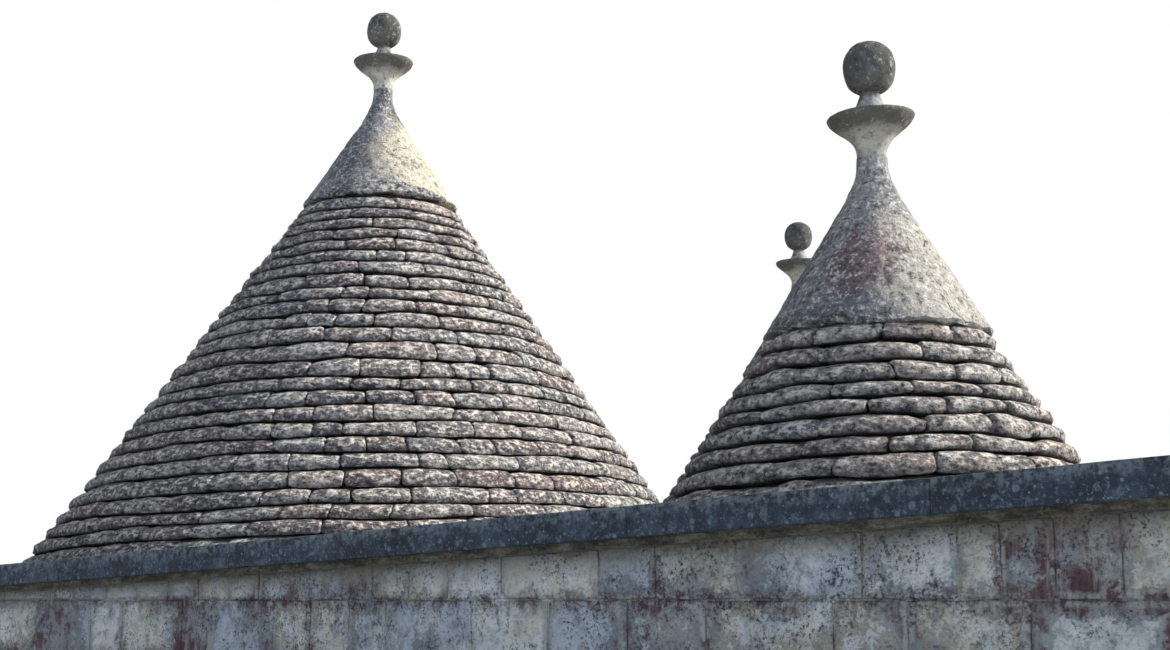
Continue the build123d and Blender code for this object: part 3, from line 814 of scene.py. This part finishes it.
def lay_block(master, start, along, place, beds, sink, top_of=None):
    """One stone in a straight wall. Place is its two ends along the face, beds its two beds, sink how far
    its face stands behind the line, and top_of the height at x that it may not pass."""
    corners, faces, size = master
    reach = 0.5 - corners[:, 0] / size[0]
    rise = np.clip(corners[:, 2] / size[2] + 0.5, 0, 1)
    s = place[0] + reach * (place[1] - place[0])
    out = corners[:, 1] - sink
    points = np.stack([start[0] + along[0] * s + along[1] * out, start[1] + along[1] * s - along[0] * out,
                       np.zeros(len(s))], axis=1)
    high = np.full(len(s), beds[1]) if top_of is None else np.minimum(beds[1], top_of(points[:, 0]))
    points[:, 2] = beds[0] + rise * (high - beds[0])
    return points, faces


def block_ends(first, last, known, below, usual, chance):
    """Upright joints of a course: the known ones, and between them uneven ones clear of those below."""
    ends = [first]
    for stop in (*[end for end in known if first < end < last], last):
        while stop - ends[-1] > 1.6 * usual:
            tries = [ends[-1] + usual * chance.uniform(0.55, 1.5) for _ in range(9)]
            ends.append(max(tries, key=lambda end: min((abs(end - b) for b in (*below, stop)), default=1)))
        ends.append(stop)
    return ends


def lay_wall(face, masters, wall, chance):
    """All blocks of one outer wall face, course on course from the top, round the doorway."""
    title, start, along, length = face
    laid, below, number = [], [], 0
    high, low = 9.0, wall.highest_bed
    while high > 0.01:
        seen = title == "front_blocks" and number < len(SEEN_JOINTS)
        known = [x - start[0] for x in SEEN_JOINTS[number]] if seen else ()
        runs = [(0.0, length, low, high)]
        if title == "yard_blocks" and low < DOOR_HEAD:
            left, right = (y - start[1] for y in DOOR_SIDES)
            runs = [(0.0, left, low, high), (right, length, low, high)]
            if high > DOOR_HEAD:
                under, past = left - LINTEL_REST, right + LINTEL_REST
                runs = [(0.0, under, low, high), (past, length, low, high), (under, left, low, DOOR_HEAD),
                        (right, past, low, DOOR_HEAD), (under, past, DOOR_HEAD, high, "lintel")]
        above, below = below, []
        for first, last, bottom, top, *lintel in runs:
            ends = [first, last]
            if not lintel:
                ends = block_ends(first, last, known, above, wall.block_length, chance)
            for place in zip(ends, ends[1:]):
                block = one_block(masters, start, along, place, (bottom, top), wall, chance)
                if block:
                    laid.append(block)
            below += ends
        high, low, number = low, max(0.0, low - wall.block_height), number + 1
    return laid


def wall_top(x):
    """Height at x that the blocks of a wall may reach."""
    return coping_height(x) - WALL_TOP_BELOW - 0.003


def one_block(masters, start, along, ends, beds, wall, chance):
    """One limewashed block with its joints, or nothing where the coping leaves no room for it."""
    middle = start[0] + along[0] * sum(ends) / 2
    if min(beds[1], wall_top(middle)) - beds[0] < 0.035:
        return None
    size = ends[1] - ends[0]
    master = chance.choice(sorted(masters, key=lambda m: abs(m[2][0] - size))[:4])
    place, high_low = ((low + BLOCK_GAP / 2, high - BLOCK_GAP / 2) for low, high in (ends, beds))
    points, faces = lay_block(master, start, along, place, high_low,
                              -wall.relief - chance.uniform(-0.004, 0.002), wall_top)
    corners, _, whole = master
    inside = np.minimum(whole[0] / 2 - np.abs(corners[:, 0]), whole[2] / 2 - np.abs(corners[:, 2]))
    front = np.clip(1 + corners[:, 1] / 0.02, 0, 1)
    lumps = roughness_at(points, 0.12, 5) * 0.009 + roughness_at(points, 0.04, 6) * 0.005
    shift = (lumps * front)[:, None] * np.array((along[1], -along[0], 0))
    return points + shift, faces, {
        "middle": np.clip(inside / 0.07, 0, 1) * (corners[:, 1] > -0.03), "tone": chance.random(),
        "bed": np.clip(1 - (whole[2] / 2 - np.abs(corners[:, 2])) / 0.05, 0, 1),
        "joint": np.clip((-corners[:, 1] - 0.002) / 0.006, 0, 1)}


class TRULLO_OT_wall_blocks(bpy.types.Operator):
    """Lays the limewashed blocks of the outer walls"""

    bl_idname = "trullo.wall_blocks"
    bl_label = "Wall blocks"

    def execute(self, context):
        wall = context.scene.trullo_wall
        stone = limewashed_stone("limewashed_block")
        masters = both_ways([hewn_stone((length, 0.06, BLOCK_HEIGHT), 0.009, 0.012, 5, 4, 0.003, 40 + number)
                             for number, length in enumerate((0.24, 0.33, 0.42, 0.30, 0.38, 0.52))])
        for number, face in enumerate(wall_faces()):
            laid = lay_wall(face, masters, wall, random.Random(70 + number))
            finish_piece(join_stones(face[0], laid, 40), stone, "wall_stone")
        return {"FINISHED"}


class TRULLO_OT_copings(bpy.types.Operator):
    """Lays the coping slabs along the wall tops"""

    bl_idname = "trullo.copings"
    bl_label = "Coping slabs"

    def execute(self, context):
        wall = context.scene.trullo_wall
        stone = grey_coping_stone("grey_coping_stone")
        slab = 1.0, 0.25, COPING_THICKNESS
        masters = both_ways([hewn_stone(slab, 0.007, 0.006, 10, 2, 0.0012, 80 + number)
                             for number in range(4)])
        # The direction of each run, which has its outer face on the right.
        runs = {"front": (1, 0), "right": (0, 1), "wing_back": (-1, 0), "yard": (0, 1), "back": (-1, 0),
                "left": (0, -1)}
        for number, (node, along) in enumerate(runs.items()):
            low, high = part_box(f"coping_{node}")
            chance = random.Random(90 + number)
            start = low.x if along[0] > along[1] else high.x, low.y if sum(along) > 0 else high.y
            length = (high.x - low.x) if along[0] else (high.y - low.y)
            laid, at = [], 0.0
            for size in uneven_lengths(length, wall.coping_length, chance, 1):
                master = chance.choice(masters)
                ends = at + COPING_GAP / 2, at + size - COPING_GAP / 2
                points, faces = lay_block(master, start, along, ends, (0, COPING_THICKNESS), 0.0025)
                corners, _, whole = master
                points[:, 2] += coping_height(points[:, 0]) - COPING_THICKNESS - 0.001
                lumps = roughness_at(points, 0.25, 7) * 0.0016 + roughness_at(points, 0.05, 8) * 0.0012
                front = np.clip(1 + corners[:, 1] / 0.03, 0, 1)[:, None]
                points = points + (lumps[:, None] * front) * np.array((along[1], -along[0], 0.6))
                worn = (corners[:, 1] > -0.012) & (corners[:, 2] > COPING_THICKNESS / 2 - 0.012)
                joint = np.abs(corners[:, 0]) > whole[0] / 2 - 0.0035
                laid.append((points, faces, {"worn": worn, "joint": joint}))
                at += size
            piece = join_stones(f"coping_{node}_slabs", laid, 40)
            finish_piece(piece, stone, "coping_stone", f"coping_{node}")
        return {"FINISHED"}


class TRULLO_OT_plain_masonry(bpy.types.Operator):
    """Gives the masonry that stays as the CAD made it its finish"""

    bl_idname = "trullo.plain_masonry"
    bl_label = "Walls, terrace, domes and mortar"

    def execute(self, context):
        flags, mortar = paving_flags("limestone_flags"), lime_mortar("brown_lime_mortar")
        rubble = rubble_stone("rubble_limestone")
        masonry = limewashed_stone("limewashed_masonry", blocks=False)
        for name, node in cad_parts.items():
            if name.startswith("terrace_"):
                material = flags
            elif name == "coping_bed":
                material = mortar
            elif name.endswith(("_core", "_dome")):
                material = rubble
            elif name.startswith(("coping_", "cone_")):
                continue
            else:
                material = masonry
            node.data.materials.clear()
            node.data.materials.append(material)
        return {"FINISHED"}


class TRULLO_OT_stage(bpy.types.Operator):
    """Sets up the floor, the lights and the camera"""

    bl_idname = "trullo.stage"
    bl_label = "Stage"

    def execute(self, context):
        stage = context.scene.trullo_stage
        clear()
        bpy.ops.mesh.primitive_plane_add(size=120, location=(0, 0, 0))
        floor = context.object
        floor.name = "floor"
        made = bpy.data.materials.new("pale_floor")
        made.use_nodes = True
        shader = made.node_tree.nodes["Principled BSDF"]
        shader.inputs["Base Color"].default_value = linear("#D3D9E0")
        shader.inputs["Roughness"].default_value = 0.9
        floor.data.materials.append(made)
        world = bpy.data.worlds.new("studio")
        context.scene.world = world
        world.use_nodes = True
        tree = world.node_tree
        tree.nodes.clear()
        path = add(tree, "ShaderNodeLightPath")
        seen = sums(sums(path.outputs["Is Camera Ray"], path.outputs["Is Glossy Ray"], "MAXIMUM"),
                    path.outputs["Is Transmission Ray"], "MAXIMUM")
        fill = add(tree, "ShaderNodeBackground", {"Color": "#CFE2FF", "Strength": stage.fill_strength})
        white = add(tree, "ShaderNodeBackground", {"Color": "#FFFFFF", "Strength": 1.0})
        both = add(tree, "ShaderNodeMixShader", links={0: seen, 1: fill.outputs[0], 2: white.outputs[0]})
        add(tree, "ShaderNodeOutputWorld", links={0: both.outputs[0]})
        for name, towards, strength, spread, shade in (
                ("key_light", (0.55, 0.62, 0.52), stage.key_strength, 12, "#FFFBF4"),
                ("front_light", (0.82, -0.88, 0.25), stage.front_strength, 70, "#DAE8FF")):
            bpy.ops.object.light_add(type="SUN", location=(6, -6, 8))
            lamp = context.object
            lamp.name = name
            lamp.data.energy, lamp.data.angle = strength, math.radians(spread)
            lamp.data.color = linear(shade)[:3]
            lamp.rotation_euler = Vector(towards).to_track_quat("Z", "Y").to_euler()
        bpy.ops.object.camera_add(location=stage.eye,
                                  rotation=(math.radians(90) + stage.pitch, 0, stage.heading))
        camera = context.object
        camera.name = "camera"
        camera.data.lens, camera.data.sensor_width = 50.77, 36
        camera.data.clip_end = 500
        context.scene.camera = camera
        context.scene.view_settings.view_transform = "Standard"
        return {"FINISHED"}


OPERATORS = (TRULLO_OT_stage, TRULLO_OT_plain_masonry, TRULLO_OT_roof_stones, TRULLO_OT_caps,
             TRULLO_OT_finials, TRULLO_OT_wall_blocks, TRULLO_OT_copings)


class TRULLO_PT_panel(bpy.types.Panel):
    """The pieces of the trullo and their sizes"""

    bl_label = "Trullo house"
    bl_space_type = "VIEW_3D"
    bl_region_type = "UI"
    bl_category = "Trullo"

    def draw(self, context):
        for settings in (context.scene.trullo_roof, context.scene.trullo_wall, context.scene.trullo_stage):
            for field in settings.bl_rna.properties:
                if not field.is_readonly and field.identifier != "name":
                    self.layout.prop(settings, field.identifier)
        for operator in OPERATORS:
            self.layout.operator(operator.bl_idname)


CLASSES = (RoofSettings, WallSettings, StageSettings, *OPERATORS, TRULLO_PT_panel)


def register():
    for item in CLASSES:
        bpy.utils.register_class(item)
    bpy.types.Scene.trullo_roof = PointerProperty(type=RoofSettings)
    bpy.types.Scene.trullo_wall = PointerProperty(type=WallSettings)
    bpy.types.Scene.trullo_stage = PointerProperty(type=StageSettings)


def unregister():
    for key in ("trullo_roof", "trullo_wall", "trullo_stage"):
        delattr(bpy.types.Scene, key)
    for item in reversed(CLASSES):
        bpy.utils.unregister_class(item)


def main():
    register()
    for operator in OPERATORS:
        group, name = operator.bl_idname.split(".")
        getattr(getattr(bpy.ops, group), name)()


if __name__ == "__main__":
    main()
